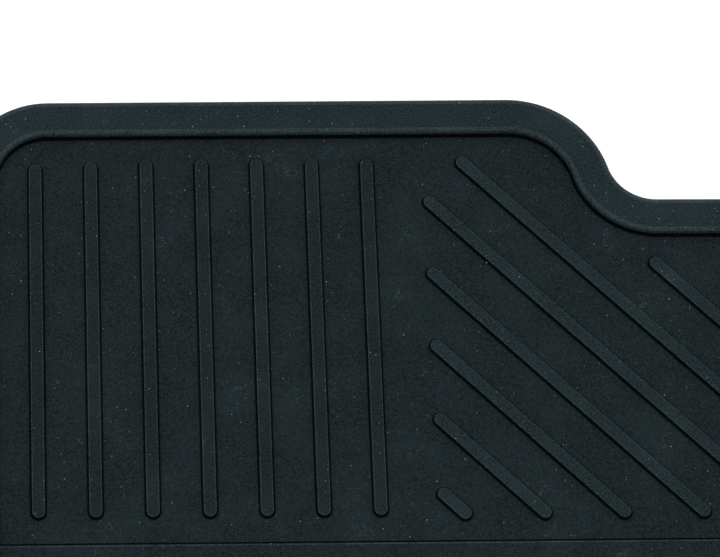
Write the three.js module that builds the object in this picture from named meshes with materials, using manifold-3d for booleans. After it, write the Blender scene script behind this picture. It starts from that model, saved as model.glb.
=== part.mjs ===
// Moulded rubber floor mat set for a truck cab: two front mats and two rear mats, laid out flat.
// Millimetres, +Z up, +Y towards the front of the vehicle, X = 0 between the left and right mats.
// Each front mat bends up along a moulded flex groove, so its toe section is a solid of its own,
// and it is held to the cab floor through two anchor grommets, each a top ring and a base ring.
import * as THREE from "three";
import { mergeVertices } from "three/addons/utils/BufferGeometryUtils.js";
import Module from "manifold-3d";

const wasm = await Module();
wasm.setup();

// Plan of a mat. Its own origin is the first rib's centre line (X) and the flex groove (Y).
const matWidth = 480;
const rimWidth = 17.5;
const cornerRadius = 41;
const firstRibInset = 35;
const toeLength = 214.1;
const frontEdgeSlant = 1.5;
const shoulderDrop = 50.3;
const shoulderStart = 215.3;
const shoulderRadius = 47;
const shoulderFillet = 22;
const heelLength = 475;
const rearLength = 400;
const gapBetweenMats = 16;

// Heights above the floor.
const panelTop = 4.5;
const ribTop = 6.3;
const ribRoot = 3.5;
const rimTop = 8.8;
const rimChamfer = 3;

// Raised ribs: straight ones run fore and aft, diagonal ones at 45 degrees beside them.
const ribPitch = 25;
const ribWidth = 6.2;
const straightRibCount = 7;
const heelRibCount = 17;
const ribToRim = 11.1;
const cornerRibStop = 2.6;
const cornerRibEase = 1.2;
const ribToGroove = 11;
const diagonalFieldLeft = 175.5;
const firstDiagonal = 199.8;
const diagonalStep = ribPitch * Math.SQRT2;
const centreFieldEnd = 243;
const heelFieldStart = 268;
const grommetBandStart = 375;

// Flex groove: the V that closes as the toe section bends up by flexAngle.
const flexAngle = 30;
const flexWall = THREE.MathUtils.degToRad(flexAngle / 2 + 0.5);
const touchingGap = 0.3;

// Anchor grommets, diameters then heights.
const grommetBore = 17;
const grommetFlange = 36;
const grommetBarrel = 21.4;
const grommetHole = 22;
const grommetRecess = 38;
const recessDepth = 1.8;
const baseLift = 0.2;
const flangeTop = 6.5;
const flangeEdge = 0.8;
const grommetFromSide = 60;
const grommetFromHeel = 57;

// How finely round shapes are divided.
const arcSteps = 8;
const ribEndSteps = 4;
const ringSides = 20;
const beyond = 1000;

// Edges and corner centres that follow from the plan.
const leftEdge = -firstRibInset;
const rightEdge = leftEdge + matWidth;
const leftCorner = leftEdge + cornerRadius;
const rightCorner = rightEdge - cornerRadius;
const shoulderEdge = toeLength - shoulderDrop;
const ribInset = rimWidth + ribToRim;
const grommetColumns = [leftEdge + grommetFromSide, rightEdge - grommetFromSide];

const rubber = { color: 0x20282b, roughness: 0.85, metalness: 0 };
const plastic = { color: 0x17191a, roughness: 0.5, metalness: 0 };

function arc(centreX, centreY, radius, from, to, steps = arcSteps) {
  const points = [];
  for (let step = 0; step <= steps; step += 1) {
    const angle = from + ((to - from) * step) / steps;
    points.push(new THREE.Vector2(centreX + radius * Math.cos(angle), centreY + radius * Math.sin(angle)));
  }
  return points;
}

// The S-shaped shoulder: a convex arc, then a concave fillet tangent to it and to the lower front
// edge. Both keep their centres when the outline is inset.
function shoulder(inset) {
  const convexY = toeLength - shoulderRadius;
  const filletY = shoulderEdge + shoulderFillet;
  const rise = filletY - convexY;
  const run = Math.sqrt((shoulderRadius + shoulderFillet) ** 2 - rise ** 2);
  const meet = Math.atan2(rise, run);
  return [
    ...arc(shoulderStart, convexY, shoulderRadius - inset, Math.PI / 2, meet),
    ...arc(shoulderStart + run, filletY, shoulderFillet + inset, Math.PI + meet, 1.5 * Math.PI).slice(1),
  ];
}

// Outline of a mat pulled in by inset: its front edge, then its right and left rear corners.
function matOutline(frontEdge, rearY, inset) {
  const radius = cornerRadius - inset;
  return new THREE.Shape([
    ...frontEdge(inset),
    ...arc(rightCorner, rearY + cornerRadius, radius, 0, -Math.PI / 2),
    ...arc(leftCorner, rearY + cornerRadius, radius, -Math.PI / 2, -Math.PI),
  ]);
}

// The front edge runs back by frontEdgeSlant from the shoulder to the inner corner.
function frontMatOutline(inset) {
  const radius = cornerRadius - inset;
  const innerCornerY = toeLength - frontEdgeSlant - cornerRadius;
  const frontEdge = () => [
    ...arc(leftCorner, innerCornerY, radius, Math.PI, Math.PI / 2),
    ...shoulder(inset),
    ...arc(rightCorner, shoulderEdge - cornerRadius, radius, Math.PI / 2, 0),
  ];
  return matOutline(frontEdge, -heelLength, inset);
}

function rearMatOutline(inset) {
  const radius = cornerRadius - inset;
  const frontEdge = () => [
    ...arc(leftCorner, -cornerRadius, radius, Math.PI, Math.PI / 2),
    ...arc(rightCorner, -cornerRadius, radius, Math.PI / 2, 0),
  ];
  return matOutline(frontEdge, -rearLength, inset);
}

// A rib seen from above: a straight bar with round ends, from tip to tip.
function ribOutline(startX, startY, endX, endY) {
  const radius = ribWidth / 2;
  const heading = Math.atan2(endY - startY, endX - startX);
  const reachX = radius * Math.cos(heading);
  const reachY = radius * Math.sin(heading);
  const quarter = Math.PI / 2;
  return new THREE.Shape([
    ...arc(endX - reachX, endY - reachY, radius, heading + quarter, heading - quarter, ribEndSteps),
    ...arc(startX + reachX, startY + reachY, radius, heading - quarter, heading - 3 * quarter, ribEndSteps),
  ]);
}

// Ribs one pitch apart from Y = low to Y = high. stop(column) is how far short of high one ends.
function straightRibs(count, low, high, stop = () => 0) {
  const ribs = [];
  for (let column = 0; column < count; column += 1) {
    const x = column * ribPitch;
    ribs.push(ribOutline(x, high - stop(column), x, low));
  }
  return ribs;
}

// Ribs at 45 degrees that fill the field right of the straight ribs, down to Y = low. Each runs
// down and to the right along x + y = sum. upper(sum) is where the field stops it at the top.
function diagonalRibs(low, upper) {
  const fieldRight = rightEdge - ribInset;
  const ribs = [];
  for (let sum = firstDiagonal; upper(sum) - low > 0; sum += diagonalStep) {
    const startY = Math.min(upper(sum), sum - diagonalFieldLeft);
    const endX = Math.min(sum - low, fieldRight);
    if (endX - (sum - startY) < ribWidth) {
      break;
    }
    ribs.push(ribOutline(sum - startY, startY, endX, sum - endX));
  }
  return ribs;
}

function turnedOver(shapes) {
  const flip = (point) => new THREE.Vector2(point.x, -point.y);
  return shapes.map((shape) => new THREE.Shape(shape.getPoints().map(flip)));
}

function movedBack(shapes, distance) {
  const shift = (point) => new THREE.Vector2(point.x, point.y - distance);
  return shapes.map((shape) => new THREE.Shape(shape.getPoints().map(shift)));
}

function solid(geometry) {
  const plain = geometry.clone();
  plain.deleteAttribute("normal");
  plain.deleteAttribute("uv");
  const merged = mergeVertices(plain);
  return new wasm.Manifold(new wasm.Mesh({
    numProp: 3,
    vertProperties: new Float32Array(merged.attributes.position.array),
    triVerts: new Uint32Array(merged.index.array),
  }));
}

function geometryOf(manifold) {
  const { vertProperties, triVerts } = manifold.getMesh();
  const geometry = new THREE.BufferGeometry();
  geometry.setAttribute("position", new THREE.BufferAttribute(new Float32Array(vertProperties), 3));
  geometry.setIndex(new THREE.BufferAttribute(new Uint32Array(triVerts), 1));
  geometry.computeVertexNormals();
  return geometry;
}

function prism(shape, low, high) {
  const geometry = new THREE.ExtrudeGeometry(shape, { depth: high - low, bevelEnabled: false });
  return solid(geometry.translate(0, 0, low));
}

function disc(x, y, diameter, low, high) {
  return prism(new THREE.Shape(arc(x, y, diameter / 2, 0, 2 * Math.PI, ringSides).slice(1)), low, high);
}

// Tray: a slab with a chamfered rim standing round its sunken panel.
function tray(outline) {
  const crown = new THREE.ExtrudeGeometry(outline(0), {
    depth: rimTop - 2 * rimChamfer,
    bevelEnabled: true,
    bevelThickness: rimChamfer,
    bevelSize: rimChamfer,
    bevelOffset: -rimChamfer,
    bevelSegments: 1,
  });
  const blank = solid(crown.translate(0, 0, rimChamfer)).add(prism(outline(0), 0, panelTop));
  return blank.subtract(prism(outline(rimWidth), panelTop, beyond));
}

function withRibs(blank, shapes) {
  return shapes.reduce((body, shape) => body.add(prism(shape, ribRoot, ribTop)), blank);
}

// Everything on one side of the flex groove: side is 1 towards the toe and -1 towards the heel.
// Its end face is upright below the floor line and leans away from the groove above it.
function sideOfGroove(side) {
  const foot = touchingGap / 2;
  const corners = [
    [foot, -rimTop],
    [foot, 0],
    [foot + 2 * rimTop * Math.tan(flexWall), 2 * rimTop],
    [beyond, 2 * rimTop],
    [beyond, -rimTop],
  ];
  const profile = new THREE.Shape(corners.map(([y, z]) => new THREE.Vector2(side * y, z)));
  const slab = new THREE.ExtrudeGeometry(profile, { depth: 2 * beyond, bevelEnabled: false });
  const alongX = new THREE.Matrix4().makeBasis(
    new THREE.Vector3(0, 1, 0),
    new THREE.Vector3(0, 0, 1),
    new THREE.Vector3(1, 0, 0),
  );
  return solid(slab.translate(0, 0, -beyond).applyMatrix4(alongX));
}

// Toe section: the part of a front mat ahead of the flex groove.
function toeSection() {
  const field = toeLength - ribInset;
  const shoulderField = shoulderEdge - ribInset;
  const upper = (sum) => (sum - field < shoulderStart ? field : shoulderField);
  const clearOfCorner = (column) => Math.max(0, cornerRibStop - column * cornerRibEase);
  const ribs = [
    ...straightRibs(straightRibCount, ribToGroove, field, clearOfCorner),
    ...diagonalRibs(ribToGroove - 1, upper),
  ];
  return geometryOf(withRibs(tray(frontMatOutline).intersect(sideOfGroove(1)), ribs));
}

// Main section: a centre field that mirrors the toe's pattern about the groove, a heel field of
// straight ribs, and a seat for each grommet.
function mainSection() {
  const centreRibs = [
    ...straightRibs(straightRibCount, ribToGroove, centreFieldEnd),
    ...diagonalRibs(ribToGroove - 1, () => centreFieldEnd),
  ];
  const heelEnd = heelLength - ribInset;
  const clearOfGrommets = (x) => grommetColumns.every((column) => Math.abs(x - column) > 1.5 * ribPitch);
  const heelRibs = straightRibs(heelRibCount, heelFieldStart, heelEnd);
  const shortRibs = straightRibs(heelRibCount, heelFieldStart, grommetBandStart);
  const heelField = heelRibs.map((rib, column) => (clearOfGrommets(column * ribPitch) ? rib : shortRibs[column]));
  const ribs = turnedOver([...centreRibs, ...heelField]);
  let body = withRibs(tray(frontMatOutline).intersect(sideOfGroove(-1)), ribs);
  for (const x of grommetColumns) {
    const y = grommetFromHeel - heelLength;
    body = body.subtract(disc(x, y, grommetHole, -beyond, beyond));
    body = body.subtract(disc(x, y, grommetRecess, -beyond, recessDepth));
  }
  return geometryOf(body);
}

function rearMat() {
  const field = rearLength - 2 * ribInset;
  const ribs = [
    ...straightRibs(straightRibCount, 0, field),
    ...diagonalRibs(0, () => field),
  ];
  return geometryOf(withRibs(tray(rearMatOutline), movedBack(ribs, rearLength - ribInset)));
}

function ring(profile) {
  const points = [...profile, profile[0]].map(([diameter, z]) => new THREE.Vector2(diameter / 2, z));
  return new THREE.LatheGeometry(points, ringSides).rotateX(Math.PI / 2);
}

// Top ring: a flange on the panel and a barrel through the mat.
function grommetTop() {
  return ring([
    [grommetBore, recessDepth],
    [grommetBarrel, recessDepth],
    [grommetBarrel, panelTop + touchingGap],
    [grommetFlange, panelTop + touchingGap],
    [grommetFlange, flangeTop - flangeEdge],
    [grommetFlange - 2 * flangeEdge, flangeTop],
    [grommetBore, flangeTop],
  ]);
}

// Base ring: a washer in the recess under the mat, just above the floor.
function grommetBase() {
  const top = recessDepth - touchingGap;
  return ring([
    [grommetBore, baseLift],
    [grommetFlange, baseLift],
    [grommetFlange, top],
    [grommetBore, top],
  ]);
}

function piece(name, geometry, finish) {
  const mesh = new THREE.Mesh(geometry, new THREE.MeshStandardMaterial(finish));
  mesh.name = name;
  return mesh;
}

const frontPieces = { toe_section: toeSection(), main_section: mainSection() };
const rearGeometry = rearMat();
const set = new THREE.Group();
const setLength = toeLength + heelLength + gapBetweenMats + rearLength;
const grooveY = setLength / 2 - toeLength;
const rearMatY = rearLength - setLength / 2;

for (const [hand, side] of [["right", 1], ["left", -1]]) {
  const firstRibX = side * (gapBetweenMats / 2 + firstRibInset);
  const shaped = (geometry) => (side > 0 ? geometry : mirrored(geometry));

  const front = new THREE.Group();
  front.position.set(firstRibX, grooveY, 0);
  for (const [section, geometry] of Object.entries(frontPieces)) {
    front.add(piece(`front_${hand}_${section}`, shaped(geometry), rubber));
  }
  grommetColumns.forEach((column, order) => {
    const place = order === 0 ? "inner" : "outer";
    const top = piece(`front_${hand}_${place}_grommet_top`, grommetTop(), plastic);
    const base = piece(`front_${hand}_${place}_grommet_base`, grommetBase(), plastic);
    for (const half of [top, base]) {
      half.position.set(side * column, grommetFromHeel - heelLength, 0);
      front.add(half);
    }
  });

  const rear = piece(`rear_${hand}_mat`, shaped(rearGeometry), rubber);
  rear.position.set(firstRibX, rearMatY, 0);
  set.add(front, rear);
}

function mirrored(geometry) {
  const copy = geometry.clone().scale(-1, 1, 1);
  const index = copy.getIndex();
  for (let corner = 0; corner < index.count; corner += 3) {
    const kept = index.getX(corner);
    index.setX(corner, index.getX(corner + 1));
    index.setX(corner + 1, kept);
  }
  copy.computeVertexNormals();
  return copy;
}

export default set;
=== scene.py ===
"""Looks for a set of moulded rubber floor mats: two front mats that flex at the toe, two rear mats,
and the anchor grommets of the front mats. Everything is in metres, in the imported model's frame."""
import math

import bmesh
import bpy
from mathutils import Matrix, Vector


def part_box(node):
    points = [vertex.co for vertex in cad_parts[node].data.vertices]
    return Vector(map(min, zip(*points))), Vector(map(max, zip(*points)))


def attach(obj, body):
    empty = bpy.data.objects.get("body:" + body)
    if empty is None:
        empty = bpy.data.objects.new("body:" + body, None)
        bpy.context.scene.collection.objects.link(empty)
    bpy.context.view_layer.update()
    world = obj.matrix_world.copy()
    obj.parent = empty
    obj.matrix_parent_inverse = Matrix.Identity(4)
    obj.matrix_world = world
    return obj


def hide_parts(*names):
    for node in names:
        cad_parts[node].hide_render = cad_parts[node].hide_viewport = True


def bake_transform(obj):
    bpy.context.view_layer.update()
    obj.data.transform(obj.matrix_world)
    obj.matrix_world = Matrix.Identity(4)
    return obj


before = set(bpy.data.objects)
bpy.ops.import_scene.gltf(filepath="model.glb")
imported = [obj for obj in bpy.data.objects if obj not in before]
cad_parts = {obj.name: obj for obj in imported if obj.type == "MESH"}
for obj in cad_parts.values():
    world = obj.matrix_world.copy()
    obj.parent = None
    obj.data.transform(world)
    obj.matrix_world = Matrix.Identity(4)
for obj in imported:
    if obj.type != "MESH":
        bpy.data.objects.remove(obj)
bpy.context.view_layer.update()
MM = 0.001

# Places that come from the frame: the right-hand mats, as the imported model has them.
toe_low, toe_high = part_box("front_right_toe_section")
main_low, main_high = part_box("front_right_main_section")
rear_low, rear_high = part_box("rear_right_mat")
grommet_tops = [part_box(f"front_right_{place}_grommet_top") for place in ("inner", "outer")]
grommet_holes = [Vector(((low.x + high.x) / 2, (low.y + high.y) / 2, 0)) for low, high in grommet_tops]
top_low, top_high = grommet_tops[0]
base_low, base_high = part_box("front_right_inner_grommet_base")
GROOVE_Y = (toe_low.y + main_high.y) / 2
RIM_TOP = main_high.z

# The mould's plan.
RIM_WIDTH = 17.5 * MM
CORNER_RADIUS = 41 * MM
SHOULDER_RADIUS = 47 * MM
SHOULDER_FILLET = 22 * MM
SHOULDER_DROP = 50.3 * MM
SHOULDER_START = 215.3 * MM
FRONT_EDGE_SLANT = 1.5 * MM
FIRST_RIB_INSET = 35 * MM
FIRST_RIB_X = main_low.x + FIRST_RIB_INSET
SHOULDER_Y = toe_high.y - SHOULDER_DROP
ARC_SEGMENTS = 20
EDGE_SEGMENTS = 6
RIB_END_SEGMENTS = 8
RIB_EDGE_SEGMENTS = 3
FLANGE_EDGE_SEGMENTS = 4

# The mould's heights and the edges that it leaves. A crease runs round the panel at the foot of the
# rim, and each rib stands on a thin strip; both are painted near black as shade.
PANEL_TOP = 4.5 * MM
SHEET_UNDERSIDE = 1.5 * MM
RIM_OUTER_ROUND = 3 * MM
RIM_INNER_ROUND = 2.4 * MM
RIM_DRAFT = 0.35 * MM
CREASE_HEIGHT = 0.8 * MM
CREASE_WIDTH = 0.3 * MM
CREASE_DEPTH = 0.35 * MM
RIM_FOOT = 9 * MM
RIB_HEIGHT = 1.8 * MM
RIB_BASE_WIDTH = 7.6 * MM
RIB_DRAFT = 0.7 * MM
RIB_FOOT_WIDTH = 0.35 * MM
RIB_FOOT_RISE = 0.03 * MM
RIB_EDGE_ROUND = 0.35 * MM
RIB_ROOT = 1 * MM
RIB_PITCH = 25 * MM
DIAGONAL_STEP = RIB_PITCH * math.sqrt(2)
RIB_TO_RIM = 11.1 * MM
CORNER_RIB_STOP = 2.6 * MM
CORNER_RIB_EASE = 1.2 * MM
RIB_TO_GROOVE = 11 * MM
FIELD_INSET = RIM_WIDTH + RIB_TO_RIM
STRAIGHT_RIBS = 7
HEEL_RIBS = 17
DIAGONAL_FIELD_LEFT = 175.5 * MM
FIRST_DIAGONAL = 199.8 * MM
CENTRE_FIELD_END = 243 * MM
HEEL_FIELD_START = 268 * MM
GROMMET_BAND_START = 375 * MM
GROMMET_BAND_SIDE = 1.5 * RIB_PITCH
GROOVE_WIDTH = 0.9 * MM
GROOVE_DEPTH = 0.6 * MM
GROOVE_LIP_DROP = 0.2 * MM
BEND_REACH = 9 * MM

# Where the sheet is cut across so that it can bend, in half widths of the groove from its middle.
GROOVE_STEPS = (0, 1, 2.4, 3.6, 5, 8, 11)

# The anti-slip nibs under the sheet.
NIB_PITCH = 15 * MM
NIB_RADIUS = 1.7 * MM
NIB_TIP_RADIUS = 0.9 * MM
NIB_MARGIN = 13 * MM
NIB_ROOT = 0.3 * MM
NIB_SIDES = 8

# The grommets.
FLANGE_RADIUS = (top_high.x - top_low.x) / 2
BORE_RADIUS = 8.5 * MM
BARREL_RADIUS = 10.6 * MM
GROMMET_HOLE_RADIUS = 10.8 * MM
GROMMET_HOLE_SIDES = 48
GROMMET_CLEARANCE = FLANGE_RADIUS + NIB_RADIUS + MM
FLANGE_EDGE = 0.9 * MM
RING_SIDES = 96

# Slopes, as the upright part of a face's normal, that tell walls from edges and from level faces.
LEANING = 0.01
UPRIGHT = 0.3
WALL_SLOPE = 0.6
EDGE_SLOPE = 0.7
LEVEL = 0.995

# Steep faces between the groove's bottom and this height are the crease, the groove and the ribs'
# walls. Sloping faces above it are upper edges.
CREASE_TOP = PANEL_TOP + 1.3 * MM

# Where each finish stands in rubber_finishes: painted shade, painted highlight, and a lighter copy painted
# as light.
PAINTED_SHADE = 1
PAINTED_HIGHLIGHT = 2
LIGHTER_RIM = 3

# Rubber's grain, talc, dust and scuffs. A spark-eroded grain is about 0.2 mm across, and is drawn
# coarser here so that it shows. Dust has one speck to a cell: SPECK_SIZE is the largest radius, as a
# share of the spacing, and SPECK_RARITY is how few are bright. Scuffs are thin trails broken up by
# the grain, and SCUFF_WIDTH is how far the noise may be from its middle value on one.
GRAIN = 0.8 * MM
GRAIN_SPREAD = {"From Min": 0.4, "From Max": 0.6}
CLOUD = 28 * MM
CLOUD_SPREAD = {"From Min": 0.42, "From Max": 0.72, "To Max": 0.4}
SPECK_SPACING = 1.3 * MM
SPECK_SIZE = 0.2
SPECK_RARITY = 4.0
SCUFF_SPACING = 14 * MM
SCUFF_WIDTH = 0.012
SCUFFED_CLOUDS = {"From Min": 0.54, "From Max": 0.68}
DUST = "#808c8f"
RUBBER_IOR = 1.52

# Nylon's flow mottle, and its tool texture. That is about 0.1 mm, and is drawn coarser too.
NYLON_FLOW = 6 * MM
NYLON_GRAIN = 0.4 * MM
NYLON_DEPTH = 0.05 * MM

# The paper under the mats. Real fibres are finer, and are drawn coarser as a faint mottle.
PAPER_FIBRE = 3 * MM
PAPER_GLOW = 0.25

# How far apart two values may be and still be the same place, how far apart two points may be and
# still be joined after a union, and how far a bend may be from straight and still be taken out.
TINY = 0.01 * MM
MERGE = TINY / 4
NEARLY_STRAIGHT = math.radians(0.1)
SMOOTH_ANGLE = math.radians(35)


# ---- Hand tools ---------------------------------------------------------------------------------
def take(piece):
    """Makes piece the only selected object."""
    bpy.ops.object.select_all(action="DESELECT")
    piece.select_set(True)
    bpy.context.view_layer.objects.active = piece


def edit(piece):
    take(piece)
    bpy.ops.object.mode_set(mode="EDIT")


def leave():
    bpy.ops.object.mode_set(mode="OBJECT")


def middle(face):
    """The middle of a face's corners."""
    corners = [vertex.co for vertex in face.verts]
    return sum(corners, Vector()) / len(corners)


def pick(piece, kind, test):
    """In edit mode, selects only the parts of one kind that pass the test."""
    bpy.ops.mesh.select_mode(type=kind)
    bpy.ops.mesh.select_all(action="DESELECT")
    mesh = bmesh.from_edit_mesh(piece.data)
    for part in {"VERT": mesh.verts, "EDGE": mesh.edges, "FACE": mesh.faces}[kind]:
        if test(part):
            part.select_set(True)
    mesh.select_flush_mode()
    bmesh.update_edit_mesh(piece.data)


def near(a, b):
    return abs(a - b) < TINY


def round_corners(piece, radius, test, turn=math.pi / 2):
    """Rounds the flat corners that pass the test. turn is how far the outline turns there."""
    pick(piece, "VERT", test)
    reach = radius * math.tan(turn / 2)
    bpy.ops.mesh.bevel(offset=reach, segments=ARC_SEGMENTS, profile=0.5, affect="VERTICES")


def plate(name, low, high, z):
    """A flat rectangle from corner low to corner high."""
    centre = (low + high) / 2
    bpy.ops.mesh.primitive_plane_add(size=1, location=(centre.x, centre.y, z))
    piece = bpy.context.active_object
    piece.name = name
    piece.scale = (high.x - low.x, high.y - low.y, 1)
    take(piece)
    bpy.ops.object.transform_apply(location=True, rotation=True, scale=True)
    return piece


def apply_all(piece):
    take(piece)
    for modifier in list(piece.modifiers):
        bpy.ops.object.modifier_apply(modifier=modifier.name)


# ---- Rubber mats --------------------------------------------------------------------------------
SHOULDER_RISE = (SHOULDER_Y + SHOULDER_FILLET) - (toe_high.y - SHOULDER_RADIUS)
SHOULDER_REACH = SHOULDER_RADIUS + SHOULDER_FILLET
SHOULDER_ANGLE = math.asin(SHOULDER_RISE / SHOULDER_REACH)
SHOULDER_NORMAL = Vector((math.cos(SHOULDER_ANGLE), math.sin(SHOULDER_ANGLE), 0))
CONVEX_CENTRE = Vector((FIRST_RIB_X + SHOULDER_START, toe_high.y - SHOULDER_RADIUS, 0))
FILLET_CENTRE = CONVEX_CENTRE + SHOULDER_NORMAL * SHOULDER_REACH
INFLECTION = CONVEX_CENTRE + SHOULDER_NORMAL * SHOULDER_RADIUS


def past_shoulder(point, margin=0):
    """Whether a point lies outboard of the shoulder's slope and ahead of the lower front edge."""
    outboard = (point - INFLECTION).xy.dot(SHOULDER_NORMAL.xy) > -margin
    return outboard and point.y > SHOULDER_Y - margin


def on_circle(piece, centre, radius, corner, reach):
    """Trues up the points near a rounded corner onto its circle."""
    mesh = bmesh.from_edit_mesh(piece.data)
    for vertex in mesh.verts:
        if (vertex.co - corner).xy.length < reach + TINY:
            spoke = (vertex.co - centre).xy.normalized() * radius
            vertex.co.xy = centre.xy + spoke
    bmesh.update_edit_mesh(piece.data)


def cut_shoulder(piece):
    """Cuts the outboard front corner of a front mat back to its S-shaped shoulder."""
    for point, normal in ((INFLECTION, SHOULDER_NORMAL), (Vector((0, SHOULDER_Y, 0)), Vector((0, 1, 0)))):
        bpy.ops.mesh.select_all(action="SELECT")
        bpy.ops.mesh.bisect(plane_co=point, plane_no=normal)
    pick(piece, "FACE", lambda face: past_shoulder(middle(face)))
    bpy.ops.mesh.delete(type="FACE")
    bpy.ops.mesh.select_all(action="SELECT")
    bpy.ops.mesh.dissolve_limited(angle_limit=NEARLY_STRAIGHT)
    turn = math.pi / 2 - SHOULDER_ANGLE
    for centre, radius in ((CONVEX_CENTRE, SHOULDER_RADIUS), (FILLET_CENTRE, SHOULDER_FILLET)):
        corner_y = toe_high.y if radius == SHOULDER_RADIUS else SHOULDER_Y
        slope = (INFLECTION.y - corner_y) * math.tan(SHOULDER_ANGLE)
        corner = Vector((INFLECTION.x + slope, corner_y, 0))
        round_corners(piece, radius, lambda vertex: (vertex.co - corner).length < MM, turn)
        on_circle(piece, centre, radius, corner, radius * math.tan(turn / 2))


def raise_tray(piece):
    """Raises a flat outline to a tray: outer wall, rim, drafted inner wall and sunken panel."""
    bpy.ops.mesh.select_mode(type="FACE")
    bpy.ops.mesh.select_all(action="SELECT")
    bpy.ops.mesh.extrude_region_move(TRANSFORM_OT_translate={"value": (0, 0, RIM_TOP)})
    bpy.ops.mesh.inset(thickness=RIM_WIDTH - RIM_DRAFT, depth=0)
    bpy.ops.mesh.inset(thickness=RIM_DRAFT, depth=PANEL_TOP + CREASE_HEIGHT - RIM_TOP)
    bpy.ops.mesh.inset(thickness=CREASE_WIDTH / 2, depth=-CREASE_HEIGHT - CREASE_DEPTH)
    bpy.ops.mesh.inset(thickness=CREASE_WIDTH, depth=CREASE_DEPTH)
    bpy.ops.mesh.select_all(action="SELECT")
    bpy.ops.mesh.normals_make_consistent(inside=False)
    pick(piece, "FACE", lambda face: near(middle(face).z, 0))
    bpy.ops.mesh.inset(thickness=RIM_FOOT, depth=0)
    bpy.ops.mesh.inset(thickness=RIM_DRAFT, depth=-SHEET_UNDERSIDE)

    def at_rim_top(edge, inner):
        level = all(near(vertex.co.z, RIM_TOP) for vertex in edge.verts)
        drafted = any(LEANING < face.normal.z < UPRIGHT for face in edge.link_faces)
        return level and len(edge.link_faces) == 2 and drafted == inner

    def over_upright_wall(edge):
        return any(abs(face.normal.z) < LEANING for face in edge.link_faces)

    pick(piece, "EDGE", lambda edge: at_rim_top(edge, True))
    bpy.ops.mesh.bevel(offset=RIM_INNER_ROUND, segments=EDGE_SEGMENTS, profile=0.5, affect="EDGES")
    pick(piece, "EDGE", lambda edge: at_rim_top(edge, False) and over_upright_wall(edge))
    bpy.ops.mesh.bevel(offset=RIM_OUTER_ROUND, segments=EDGE_SEGMENTS, profile=0.5, affect="EDGES")


def sink_groove(piece):
    """Adds the cuts that let the sheet bend, then sinks the flex groove between the rims. Its heel
    side starts a little lower, so that a soft lip leads out of it."""
    half = GROOVE_WIDTH / 2
    steps = [step * half for step in GROOVE_STEPS] + [BEND_REACH]
    for offset in sorted({side * step for step in steps for side in (-1, 1)}):
        bpy.ops.mesh.select_all(action="SELECT")
        bpy.ops.mesh.bisect(plane_co=(0, GROOVE_Y + offset, 0), plane_no=(0, 1, 0))
    ends = (main_low.x + RIM_WIDTH + 2 * half, main_high.x - RIM_WIDTH - 2 * half)

    def in_strip(face):
        centre = middle(face)
        return abs(centre.y - GROOVE_Y) < half and near(centre.z, PANEL_TOP)

    for x in ends:
        pick(piece, "FACE", in_strip)
        bpy.ops.mesh.bisect(plane_co=(x, 0, 0), plane_no=(1, 0, 0))

    def on_line(y):
        def test(vertex):
            across = ends[0] - TINY < vertex.co.x < ends[1] + TINY
            return across and near(vertex.co.y, y) and near(vertex.co.z, PANEL_TOP)
        return test

    for y, drop in ((GROOVE_Y, GROOVE_DEPTH), (GROOVE_Y - half, GROOVE_LIP_DROP)):
        pick(piece, "VERT", on_line(y))
        bpy.ops.transform.translate(value=(0, 0, -drop))


def model_rib():
    """One rib, along Y about the origin: round ends, drafted walls and a soft top edge."""
    half = RIB_BASE_WIDTH / 2
    low = Vector((-half, -RIB_BASE_WIDTH, 0))
    piece = plate("rib_pattern", low, -low, PANEL_TOP - RIB_ROOT)
    edit(piece)
    pick(piece, "VERT", lambda vertex: True)
    bpy.ops.mesh.bevel(offset=half - TINY, segments=RIB_END_SEGMENTS, profile=0.5, affect="VERTICES")
    bpy.ops.mesh.select_all(action="SELECT")
    bpy.ops.mesh.remove_doubles(threshold=3 * TINY)
    bpy.ops.mesh.select_mode(type="FACE")
    bpy.ops.mesh.select_all(action="SELECT")
    bpy.ops.mesh.extrude_region_move(TRANSFORM_OT_translate={"value": (0, 0, RIB_ROOT + RIB_FOOT_RISE)})
    bpy.ops.mesh.inset(thickness=RIB_FOOT_WIDTH, depth=0)
    bpy.ops.mesh.inset(thickness=RIB_DRAFT, depth=RIB_HEIGHT - RIB_FOOT_RISE)
    bpy.ops.mesh.select_all(action="SELECT")
    bpy.ops.mesh.normals_make_consistent(inside=False)
    top = PANEL_TOP + RIB_HEIGHT
    pick(piece, "EDGE", lambda edge: all(near(vertex.co.z, top) for vertex in edge.verts))
    bpy.ops.mesh.bevel(offset=RIB_EDGE_ROUND, segments=RIB_EDGE_SEGMENTS, profile=0.5, affect="EDGES")
    leave()
    return piece


def lay_rib(pattern, start, end):
    """A copy of the rib, drawn out and turned to run from tip to tip."""
    piece = pattern.copy()
    piece.data = pattern.data.copy()
    bpy.context.scene.collection.objects.link(piece)
    run = end - start
    stretch = run.length / 2 - RIB_BASE_WIDTH
    for vertex in piece.data.vertices:
        vertex.co.y += math.copysign(stretch, vertex.co.y)
    turn = Matrix.Rotation(math.atan2(run.y, run.x) - math.pi / 2, 4, "Z")
    centre = (start + end) / 2
    piece.data.transform(Matrix.Translation((centre.x, centre.y, 0)) @ turn)
    return piece


def straight_runs(count, low, high, stop=0, ease=0):
    """Tip-to-tip runs of ribs one pitch apart, from Y = low to Y = high, in the mat's own plan. The
    first one ends short of high by stop, and each of the next by ease less."""
    runs = []
    for column in range(count):
        x = column * RIB_PITCH
        runs.append((Vector((x, high - max(0, stop - column * ease))), Vector((x, low))))
    return runs


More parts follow.
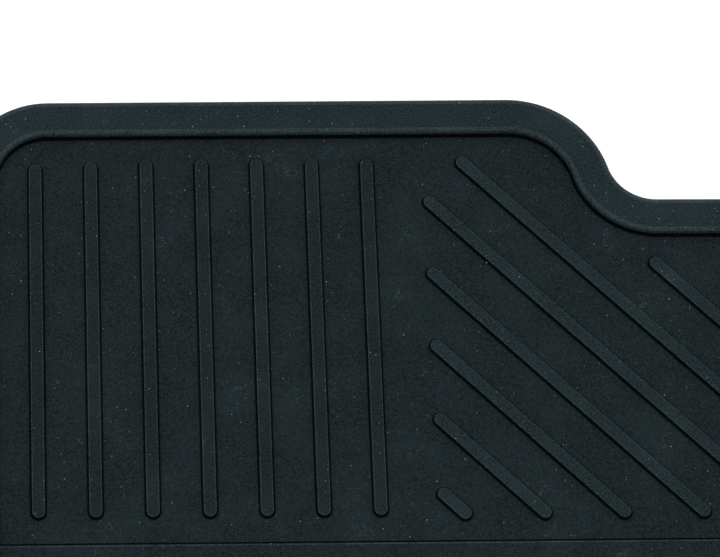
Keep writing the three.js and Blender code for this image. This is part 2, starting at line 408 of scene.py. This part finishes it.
def diagonal_runs(low, upper):
    """Runs at 45 degrees, down and to the right, that fill the field beside the straight ribs. Along
    each, X + Y is one total, and upper(total) is where the field ends at the top."""
    field_right = main_high.x - FIRST_RIB_X - FIELD_INSET
    runs = []
    total = FIRST_DIAGONAL
    while upper(total) > low:
        start_y = min(upper(total), total - DIAGONAL_FIELD_LEFT)
        end_x = min(total - low, field_right)
        if end_x - (total - start_y) < RIB_BASE_WIDTH:
            break
        runs.append((Vector((total - start_y, start_y)), Vector((end_x, total - end_x))))
        total += DIAGONAL_STEP
    return runs


def front_mat_runs(grommet_columns):
    """All the ribs of a front mat, measured from the first rib and the groove: the toe's, a longer
    centre field that mirrors them about the groove, and straight heel ribs that stop short of a
    grommet."""
    field = toe_high.y - GROOVE_Y - FIELD_INSET
    shoulder_field = SHOULDER_Y - GROOVE_Y - FIELD_INSET

    def upper(total):
        return field if total - field < SHOULDER_START else shoulder_field

    toe = straight_runs(STRAIGHT_RIBS, RIB_TO_GROOVE, field, CORNER_RIB_STOP, CORNER_RIB_EASE)
    toe += diagonal_runs(RIB_TO_GROOVE - MM, upper)
    heel_end = GROOVE_Y - main_low.y - FIELD_INSET
    centre = straight_runs(STRAIGHT_RIBS, RIB_TO_GROOVE, CENTRE_FIELD_END)
    centre += diagonal_runs(RIB_TO_GROOVE - MM, lambda total: CENTRE_FIELD_END)
    heel = []
    for column in range(HEEL_RIBS):
        x = column * RIB_PITCH
        clear = all(abs(x - place) > GROMMET_BAND_SIDE for place in grommet_columns)
        reach = heel_end if clear else GROMMET_BAND_START
        heel.append((Vector((x, HEEL_FIELD_START)), Vector((x, reach))))
    turned = [(Vector((a.x, -a.y)), Vector((b.x, -b.y))) for a, b in centre + heel]
    return toe + turned


def rear_mat_runs():
    """All the ribs of a rear mat, measured from the first rib's lower tip."""
    field = rear_high.y - rear_low.y - 2 * FIELD_INSET
    return straight_runs(STRAIGHT_RIBS, 0, field) + diagonal_runs(0, lambda total: field)


def add_ribs(mat, runs, origin):
    """Joins a rib to the mat along every run, which is measured from origin."""
    pattern = model_rib()
    ribs = [lay_rib(pattern, start + origin, end + origin) for start, end in runs]
    bpy.data.objects.remove(pattern)
    take(ribs[0])
    for rib in ribs:
        rib.select_set(True)
    bpy.ops.object.join()
    union = mat.modifiers.new("ribs", "BOOLEAN")
    union.operation = "UNION"
    union.solver = "MANIFOLD"
    union.object = ribs[0]
    apply_all(mat)
    bpy.data.objects.remove(ribs[0])
    edit(mat)
    bpy.ops.mesh.select_all(action="SELECT")
    bpy.ops.mesh.remove_doubles(threshold=MERGE)
    bpy.ops.mesh.dissolve_degenerate(threshold=MERGE)
    leave()


def smooth(piece):
    """Smooth shading that breaks only at sharp edges."""
    take(piece)
    bpy.ops.object.shade_smooth_by_angle(angle=SMOOTH_ANGLE)
    weighted = piece.modifiers.new("even shading", "WEIGHTED_NORMAL")
    weighted.keep_sharp = True
    apply_all(piece)


def mat_corners(low, high, shoulder):
    """Rounded convex corners of an outline: centre, and the way that the corner faces in X and Y."""
    left, right = low.x + CORNER_RADIUS, high.x - CORNER_RADIUS
    rear = low.y + CORNER_RADIUS
    front = high.y - CORNER_RADIUS
    outer_front = SHOULDER_Y - CORNER_RADIUS if shoulder else front
    corners = [
        (left, front, -1, 1),
        (right, outer_front, 1, 1),
        (right, rear, 1, -1),
        (left, rear, -1, -1),
    ]
    if shoulder:
        corners.append((CONVEX_CENTRE.x, CONVEX_CENTRE.y, 1, 1))
    return corners


def under_sheet(point, low, high, shoulder):
    """Whether a nib fits under the sheet at this point."""
    reach = CORNER_RADIUS - NIB_MARGIN
    if not low.x + NIB_MARGIN < point.x < high.x - NIB_MARGIN:
        return False
    if not low.y + NIB_MARGIN < point.y < high.y - NIB_MARGIN:
        return False
    if shoulder and past_shoulder(point, NIB_MARGIN):
        return False
    for x, y, side_x, side_y in mat_corners(low, high, shoulder):
        out_x, out_y = (point.x - x) * side_x, (point.y - y) * side_y
        if out_x > 0 and out_y > 0 and math.hypot(out_x, out_y) > reach:
            return False
    return all((point - hole).xy.length > GROMMET_CLEARANCE for hole in grommet_holes)


def add_nibs(mat, low, high, shoulder):
    """Fills the mat's underside with rows of anti-slip nibs."""
    start = Vector((low.x + NIB_MARGIN + NIB_RADIUS, low.y + NIB_MARGIN + NIB_RADIUS, 0))
    depth = SHEET_UNDERSIDE + NIB_ROOT
    bpy.ops.mesh.primitive_cone_add(
        vertices=NIB_SIDES, radius1=NIB_TIP_RADIUS, radius2=NIB_RADIUS, depth=depth,
        location=(start.x, start.y, depth / 2))
    nibs = bpy.context.active_object
    take(nibs)
    bpy.ops.object.transform_apply(location=True, rotation=True, scale=True)
    for axis, length in ((0, high.x - low.x), (1, high.y - low.y)):
        row = nibs.modifiers.new("row", "ARRAY")
        row.use_relative_offset = False
        row.use_constant_offset = True
        row.constant_offset_displace = [NIB_PITCH if side == axis else 0 for side in range(3)]
        row.count = int(length / NIB_PITCH)
    apply_all(nibs)
    edit(nibs)

    def homeless(vertex):
        column = round((vertex.co.x - start.x) / NIB_PITCH)
        row = round((vertex.co.y - start.y) / NIB_PITCH)
        centre = start + Vector((column * NIB_PITCH, row * NIB_PITCH, 0))
        return not under_sheet(centre, low, high, shoulder)

    pick(nibs, "VERT", homeless)
    bpy.ops.mesh.delete(type="VERT")
    leave()
    take(mat)
    nibs.select_set(True)
    bpy.ops.object.join()


def punch(mat, centre):
    """Cuts a grommet's hole through the sheet."""
    bpy.ops.mesh.primitive_cylinder_add(
        vertices=GROMMET_HOLE_SIDES, radius=GROMMET_HOLE_RADIUS, depth=4 * RIM_TOP, location=centre)
    drill = bpy.context.active_object
    hole = mat.modifiers.new("hole", "BOOLEAN")
    hole.operation = "DIFFERENCE"
    hole.solver = "MANIFOLD"
    hole.object = drill
    apply_all(mat)
    bpy.data.objects.remove(drill)


def mirrored(piece, name):
    """The left-hand copy of a right-hand piece."""
    copy = piece.copy()
    copy.data = piece.data.copy()
    copy.name = name
    bpy.context.scene.collection.objects.link(copy)
    copy.data.transform(Matrix.Scale(-1, 4, (1, 0, 0)))
    copy.data.flip_normals()
    return copy


def front_mat():
    """The front right mat: outline, tray, groove, ribs, grommet holes and nibs."""
    piece = plate("front_right_rubber_mat", main_low, Vector((main_high.x, toe_high.y, 0)), 0)
    edit(piece)
    cut_shoulder(piece)
    corner_rows = (SHOULDER_Y, main_low.y, toe_high.y)

    def square(vertex):
        outer = near(vertex.co.x, main_low.x) or near(vertex.co.x, main_high.x)
        return outer and any(near(vertex.co.y, y) for y in corner_rows)

    def at_inner_corner(vertex):
        left = vertex.co.x < main_low.x + CORNER_RADIUS + TINY
        return left and vertex.co.y > toe_high.y - CORNER_RADIUS - TINY

    round_corners(piece, CORNER_RADIUS, square)
    pick(piece, "VERT", at_inner_corner)
    bpy.ops.transform.translate(value=(0, -FRONT_EDGE_SLANT, 0))
    raise_tray(piece)
    sink_groove(piece)
    leave()
    origin = Vector((FIRST_RIB_X, GROOVE_Y))
    add_ribs(piece, front_mat_runs([hole.x - FIRST_RIB_X for hole in grommet_holes]), origin)
    for hole in grommet_holes:
        punch(piece, hole)
    add_nibs(piece, main_low, toe_high, True)
    return piece


def rear_mat():
    """The rear right mat, a plain rectangle with the same rim and ribs and no grommets."""
    piece = plate("rear_right_rubber_mat", rear_low, rear_high, 0)
    edit(piece)
    round_corners(piece, CORNER_RADIUS, lambda vertex: True)
    raise_tray(piece)
    leave()
    add_ribs(piece, rear_mat_runs(), Vector((FIRST_RIB_X, rear_low.y + FIELD_INSET)))
    add_nibs(piece, rear_low, rear_high, False)
    return piece


# ---- Anchor grommets ----------------------------------------------------------------------------
def ring_faces(low, high, level):
    """A test for faces at one height whose middle is between two radii of the origin."""
    def test(face):
        centre = middle(face)
        return low < centre.xy.length < high and near(centre.z, level)
    return test


def grommet_half(name, bottom, top, barrel_bottom=None):
    """A moulded ring about the origin: a flange from bottom to top, with a barrel where one is given."""
    bpy.ops.mesh.primitive_cylinder_add(
        vertices=RING_SIDES, radius=FLANGE_RADIUS, depth=top - bottom, location=(0, 0, (top + bottom) / 2))
    piece = bpy.context.active_object
    piece.name = name
    take(piece)
    bpy.ops.object.transform_apply(location=True, rotation=True, scale=True)
    edit(piece)
    pick(piece, "FACE", lambda face: abs(face.normal.z) > LEVEL)
    bpy.ops.mesh.inset(thickness=FLANGE_RADIUS - BARREL_RADIUS, depth=0)
    bpy.ops.mesh.inset(thickness=BARREL_RADIUS - BORE_RADIUS, depth=0)
    bpy.ops.mesh.bridge_edge_loops()
    if barrel_bottom is not None:
        pick(piece, "FACE", ring_faces(BORE_RADIUS, BARREL_RADIUS, bottom))
        bpy.ops.mesh.extrude_region_move(TRANSFORM_OT_translate={"value": (0, 0, barrel_bottom - bottom)})

    def crest(radius):
        def test(edge):
            return all(near(v.co.z, top) and near(v.co.xy.length, radius) for v in edge.verts)
        return test

    edge_round = min(FLANGE_EDGE, (top - bottom) / 3)
    for radius in (FLANGE_RADIUS, BORE_RADIUS):
        pick(piece, "EDGE", crest(radius))
        bpy.ops.mesh.bevel(offset=edge_round, segments=FLANGE_EDGE_SEGMENTS, profile=0.5, affect="EDGES")
    leave()
    return piece


# ---- Finishes -----------------------------------------------------------------------------------
def linear(hex_colour):
    """Linear RGBA of an sRGB hex colour."""
    channels = [int(hex_colour[place:place + 2], 16) / 255 for place in (1, 3, 5)]
    return [c / 12.92 if c <= 0.04045 else ((c + 0.055) / 1.055) ** 2.4 for c in channels] + [1]


def add(tree, kind, settings=None, links=None):
    """Adds a node. settings sets its properties, or sockets by name or number. links joins its
    inputs to the outputs of earlier nodes."""
    node = tree.nodes.new(kind)
    for key, value in (settings or {}).items():
        if isinstance(key, str) and hasattr(node, key):
            setattr(node, key, value)
        else:
            node.inputs[key].default_value = value
    for key, source in (links or {}).items():
        tree.links.new(source, node.inputs[key])
    return node


def new_material(name):
    """A new material with no nodes, and its node tree."""
    material = bpy.data.materials.new(name)
    material.use_nodes = True
    material.node_tree.nodes.clear()
    return material, material.node_tree


def rubber(name, dark, light, haze, grain_depth, speck_share, roughness, gloss=0.1, scuffing=0.12):
    """EPDM rubber, compression moulded, which looks near black and matte. dark and light are the two tones
    of its grain, and carry painted shade, highlight or light in the copies that paint it; haze is the talc
    that clouds it, speck_share is the share of cells that hold a speck of dust, and scuffing is how
    strongly the light scuffs show."""
    material, tree = new_material(name)
    place = add(tree, "ShaderNodeTexCoord").outputs["Object"]

    grain = add(tree, "ShaderNodeTexNoise",
                {"Scale": 1 / GRAIN, "Detail": 3.0, "Roughness": 0.65}, {"Vector": place})
    tone = add(tree, "ShaderNodeMapRange", GRAIN_SPREAD, {"Value": grain.outputs["Fac"]})
    shade = add(tree, "ShaderNodeMix", {"data_type": "RGBA", 6: linear(dark), 7: linear(light)},
                {"Factor": tone.outputs["Result"]})

    cloud = add(tree, "ShaderNodeTexNoise",
                {"Scale": 1 / CLOUD, "Detail": 4.0, "Roughness": 0.6}, {"Vector": place})
    talc = add(tree, "ShaderNodeMapRange", CLOUD_SPREAD, {"Value": cloud.outputs["Fac"]})
    hazed = add(tree, "ShaderNodeMix", {"data_type": "RGBA", 7: linear(haze)},
                {"Factor": talc.outputs["Result"], 6: shade.outputs[2]})

    cells = add(tree, "ShaderNodeTexVoronoi", {"Scale": 1 / SPECK_SPACING}, {"Vector": place})
    chance = add(tree, "ShaderNodeSeparateColor", None, {"Color": cells.outputs["Color"]})
    reach = add(tree, "ShaderNodeMapRange",
                {"From Min": 1 - speck_share, "From Max": 1.0, "To Min": 0.0, "To Max": SPECK_SIZE},
                {"Value": chance.outputs["Red"]})
    inside = add(tree, "ShaderNodeMath", {"operation": "LESS_THAN"},
                 {0: cells.outputs["Distance"], 1: reach.outputs["Result"]})
    glint = add(tree, "ShaderNodeMath", {"operation": "POWER", 1: SPECK_RARITY},
                {0: chance.outputs["Green"]})
    bright = add(tree, "ShaderNodeMath", {"operation": "MULTIPLY"},
                 {0: inside.outputs[0], 1: glint.outputs[0]})
    dusted = add(tree, "ShaderNodeMix", {"data_type": "RGBA", 7: linear(DUST)},
                 {"Factor": bright.outputs[0], 6: hazed.outputs[2]})

    trails = add(tree, "ShaderNodeTexNoise",
                 {"Scale": 1 / SCUFF_SPACING, "Detail": 1.5, "Roughness": 0.6, "Distortion": 1.2},
                 {"Vector": place})
    from_line = add(tree, "ShaderNodeMath", {"operation": "SUBTRACT", 1: 0.5},
                    {0: trails.outputs["Fac"]})
    distance = add(tree, "ShaderNodeMath", {"operation": "ABSOLUTE"}, {0: from_line.outputs[0]})
    line = add(tree, "ShaderNodeMapRange", {"From Max": SCUFF_WIDTH, "To Min": 1.0, "To Max": 0.0},
               {"Value": distance.outputs[0]})
    where = add(tree, "ShaderNodeMapRange", {**SCUFFED_CLOUDS, "To Max": scuffing},
                {"Value": cloud.outputs["Fac"]})
    broken = add(tree, "ShaderNodeMath", {"operation": "MULTIPLY"},
                 {0: line.outputs["Result"], 1: tone.outputs["Result"]})
    scuff = add(tree, "ShaderNodeMath", {"operation": "MULTIPLY"},
                {0: broken.outputs[0], 1: where.outputs["Result"]})
    scuffed = add(tree, "ShaderNodeMix", {"data_type": "RGBA", 7: linear(DUST)},
                  {"Factor": scuff.outputs[0], 6: dusted.outputs[2]})

    bump = add(tree, "ShaderNodeBump", {"Strength": 0.5, "Distance": grain_depth},
               {"Height": grain.outputs["Fac"]})
    surface = add(tree, "ShaderNodeBsdfPrincipled",
                  {"Roughness": roughness, "IOR": RUBBER_IOR, "Specular IOR Level": gloss},
                  {"Base Color": scuffed.outputs[2], "Normal": bump.outputs["Normal"]})
    add(tree, "ShaderNodeOutputMaterial", None, {"Surface": surface.outputs["BSDF"]})
    return material


def grained_rubber():
    """EPDM rubber moulded against a spark-eroded steel tool: a fine even grain that holds talc and
    dust, so the panel looks soft, matte and slightly grey."""
    return rubber("moulded_rubber_grained", dark="#040b0d", light="#152327", haze="#1b272a",
                  grain_depth=0.12 * MM, speck_share=0.4, roughness=0.7)


def painted_light_rim_rubber():
    """EPDM rubber with the same moulded grain and more specks of dust, in a lighter copy painted as light:
    the rim and the tops of the diagonal ribs look a shade lighter than the panel."""
    return rubber("rubber_painted_light_rim", dark="#061012", light="#1d2c30", haze="#222e31",
                  grain_depth=0.14 * MM, speck_share=0.55, roughness=0.7)


def painted_shade_rubber():
    """EPDM rubber painted near black as shade, smooth and almost free of talc and dust: it draws a clean
    black line of painted shade round the panel and each rib, on the walls, in the crease and at the rib
    feet."""
    return rubber("rubber_painted_shade_wall", dark="#020404", light="#070a0b", haze="#090c0d",
                  grain_depth=0.03 * MM, speck_share=0.01, roughness=0.6, gloss=0.04, scuffing=0.0)


def painted_highlight_rubber():
    """EPDM rubber in a lighter grey that paints a highlight on rounded upper edges and the groove's heel
    lip: a smoother surface that draws a soft painted light line along each edge."""
    return rubber("rubber_painted_edge_highlight", dark="#111b1e", light="#2a3a3f", haze="#324145",
                  grain_depth=0.08 * MM, speck_share=0.35, roughness=0.6)


def moulded_nylon():
    """Black nylon 66, injection moulded in a fine-textured tool: it looks satin black with a faint
    flow mottle, a little shinier than the rubber round it."""
    material, tree = new_material("injection_moulded_nylon")
    place = add(tree, "ShaderNodeTexCoord").outputs["Object"]
    flow = add(tree, "ShaderNodeTexNoise", {"Scale": 1 / NYLON_FLOW, "Detail": 3.0}, {"Vector": place})
    grain = add(tree, "ShaderNodeTexNoise", {"Scale": 1 / NYLON_GRAIN, "Detail": 1.0}, {"Vector": place})
    shade = add(tree, "ShaderNodeMix", {"data_type": "RGBA", 6: linear("#0d0f10"), 7: linear("#15181a")},
                {"Factor": flow.outputs["Fac"]})
    bump = add(tree, "ShaderNodeBump", {"Strength": 0.2, "Distance": NYLON_DEPTH},
               {"Height": grain.outputs["Fac"]})
    surface = add(tree, "ShaderNodeBsdfPrincipled",
                  {"Roughness": 0.42, "IOR": 1.53, "Specular IOR Level": 0.2},
                  {"Base Color": shade.outputs[2], "Normal": bump.outputs["Normal"]})
    add(tree, "ShaderNodeOutputMaterial", None, {"Surface": surface.outputs["BSDF"]})
    return material


def seamless_paper():
    """White seamless background paper, rolled smooth in the mill: it looks bright and matte, with a
    very faint fibre mottle."""
    material, tree = new_material("seamless_paper")
    place = add(tree, "ShaderNodeTexCoord").outputs["Object"]
    fibre = add(tree, "ShaderNodeTexNoise", {"Scale": 1 / PAPER_FIBRE, "Detail": 2.0}, {"Vector": place})
    shade = add(tree, "ShaderNodeMix", {"data_type": "RGBA", 6: linear("#f4f4f4"), 7: linear("#fbfbfb")},
                {"Factor": fibre.outputs["Fac"]})
    surface = add(tree, "ShaderNodeBsdfPrincipled",
                  {"Roughness": 0.9, "Emission Color": linear("#ffffff"), "Emission Strength": PAPER_GLOW},
                  {"Base Color": shade.outputs[2]})
    add(tree, "ShaderNodeOutputMaterial", None, {"Surface": surface.outputs["BSDF"]})
    return material


def on_diagonal(piece, face):
    """Whether a face is the top of a diagonal rib."""
    columns = [piece.data.vertices[number].co.x for number in face.vertices]
    return near(face.center.z, PANEL_TOP + RIB_HEIGHT) and max(columns) - min(columns) > RIB_PITCH / 2


def finish_rubber(piece, finishes):
    """Grain on the panel and the ribs, painted shade on walls, crease and rib feet, painted highlights on
    upper edges, and a lighter copy painted as light on the rim and the diagonal rib tops.
    """
    piece.data.materials.clear()
    for material in finishes:
        piece.data.materials.append(material)
    box = [Vector(corner) for corner in piece.bound_box]
    piece_middle = sum(box, Vector()) / len(box)
    for face in piece.data.polygons:
        slope = abs(face.normal.z)
        height = face.center.z
        faces_in = face.normal.xy.dot((piece_middle - face.center).xy) > 0
        inner_wall = slope < UPRIGHT and height > PANEL_TOP and faces_in
        in_crease = PANEL_TOP - GROOVE_DEPTH < height < CREASE_TOP
        near_groove = abs(face.center.y - GROOVE_Y) < GROOVE_WIDTH
        groove_lip = near_groove and height > PANEL_TOP - GROOVE_LIP_DROP
        on_foot = PANEL_TOP + RIB_FOOT_RISE / 2 < height < PANEL_TOP + 2 * RIB_FOOT_RISE
        # Inner walls, the steep faces of the crease, the groove and the rib walls, and the rib feet get
        # painted shade.
        if on_foot or inner_wall or (slope < WALL_SLOPE and in_crease):
            face.material_index = PAINTED_SHADE
        # Rounded upper edges and the groove's heel lip get a painted highlight.
        elif EDGE_SLOPE <= slope < LEVEL and (height > CREASE_TOP or groove_lip):
            face.material_index = PAINTED_HIGHLIGHT
        # The rim above the ribs' height and the diagonal rib tops get a lighter copy of the grain as
        # painted light.
        elif height > PANEL_TOP + RIB_HEIGHT + TINY or on_diagonal(piece, face):
            face.material_index = LIGHTER_RIM


# ---- The set ------------------------------------------------------------------------------------
# Of these, the second paints shade, the third paints highlights and the fourth is a lighter copy that
# paints light.
rubber_finishes = (grained_rubber(), painted_shade_rubber(), painted_highlight_rubber(), painted_light_rim_rubber())
nylon = moulded_nylon()

front_right = front_mat()
rear_right = rear_mat()
top_pattern = grommet_half("grommet_top", PANEL_TOP, top_high.z, top_low.z)
base_pattern = grommet_half("grommet_base", base_low.z, base_high.z)

for hand, side in (("right", 1), ("left", -1)):
    front = front_right if side > 0 else mirrored(front_right, "front_left_rubber_mat")
    rear = rear_right if side > 0 else mirrored(rear_right, "rear_left_rubber_mat")
    for mat in (front, rear):
        finish_rubber(mat, rubber_finishes)
        smooth(mat)
    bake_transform(front)
    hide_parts(f"front_{hand}_main_section", f"front_{hand}_toe_section")
    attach(rear, f"rear_{hand}")
    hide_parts(f"rear_{hand}_mat")
    for place, hole in zip(("inner", "outer"), grommet_holes):
        for half, pattern in (("top", top_pattern), ("base", base_pattern)):
            ring = pattern.copy()
            ring.data = pattern.data.copy()
            ring.name = f"front_{hand}_{place}_grommet_{half}_ring"
            bpy.context.scene.collection.objects.link(ring)
            ring.data.transform(Matrix.Translation((side * hole.x, hole.y, 0)))
            ring.data.materials.clear()
            ring.data.materials.append(nylon)
            smooth(ring)
            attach(ring, f"front_{hand}_mat")
            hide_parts(f"front_{hand}_{place}_grommet_{half}")
for pattern in (top_pattern, base_pattern):
    bpy.data.objects.remove(pattern)

# ---- Studio -------------------------------------------------------------------------------------
# White paper under a white surround, and one wide soft light ahead of the mats, high up.
FLOOR_SIZE = 120
SURROUND_STRENGTH = 1.0
KEY_PLACE = Vector((-0.9, 2.2, 3.0))
KEY_TARGET = Vector((main_low.x + 200 * MM, GROOVE_Y + 100 * MM, 0))
KEY_SIZE = 2.4
KEY_WATTS = 34

bpy.ops.mesh.primitive_plane_add(size=FLOOR_SIZE, location=(0, 0, 0))
floor = bpy.context.active_object
floor.name = "studio_floor"
floor.data.materials.append(seamless_paper())

world = bpy.data.worlds.new("studio")
bpy.context.scene.world = world
world.use_nodes = True
surround = world.node_tree.nodes["Background"]
surround.inputs["Color"].default_value = linear("#ffffff")
surround.inputs["Strength"].default_value = SURROUND_STRENGTH


def softbox(name, place, target, size, watts):
    """A square soft light at place, facing target."""
    data = bpy.data.lights.new(name, "AREA")
    data.size = size
    data.energy = watts
    light = bpy.data.objects.new(name, data)
    bpy.context.scene.collection.objects.link(light)
    light.location = place
    light.rotation_euler = (target - light.location).to_track_quat("-Z", "Y").to_euler()
    light.visible_camera = False


softbox("key_softbox", KEY_PLACE, KEY_TARGET, KEY_SIZE, KEY_WATTS)

# The camera looks down on the front right mat's toe end from its heel side.
CAMERA_AZIMUTH = math.radians(-12.118)
CAMERA_ELEVATION = math.radians(65.781)
CAMERA_ROLL = math.radians(10.836)
CAMERA_DISTANCE = 1999 * MM
CAMERA_TARGET = Vector((FIRST_RIB_X + 145.1 * MM, GROOVE_Y + 125.9 * MM, PANEL_TOP))
SENSOR_WIDTH = 36
LENS = 222.54
FARTHEST_SEEN = 200

camera_data = bpy.data.cameras.new("camera")
camera_data.sensor_width = SENSOR_WIDTH
camera_data.lens = LENS
camera_data.clip_end = FARTHEST_SEEN
camera = bpy.data.objects.new("camera", camera_data)
bpy.context.scene.collection.objects.link(camera)
back = Vector((
    math.sin(CAMERA_AZIMUTH) * math.cos(CAMERA_ELEVATION),
    -math.cos(CAMERA_AZIMUTH) * math.cos(CAMERA_ELEVATION),
    math.sin(CAMERA_ELEVATION),
))
level_right = Vector((0, 0, 1)).cross(back).normalized()
level_up = back.cross(level_right)
right = math.cos(CAMERA_ROLL) * level_right + math.sin(CAMERA_ROLL) * level_up
up = back.cross(right)
camera.matrix_world = Matrix.Translation(CAMERA_TARGET + back * CAMERA_DISTANCE) @ Matrix(
    (right, up, back)).transposed().to_4x4()
bpy.context.scene.camera = camera
bpy.context.scene.view_settings.view_transform = "Standard"
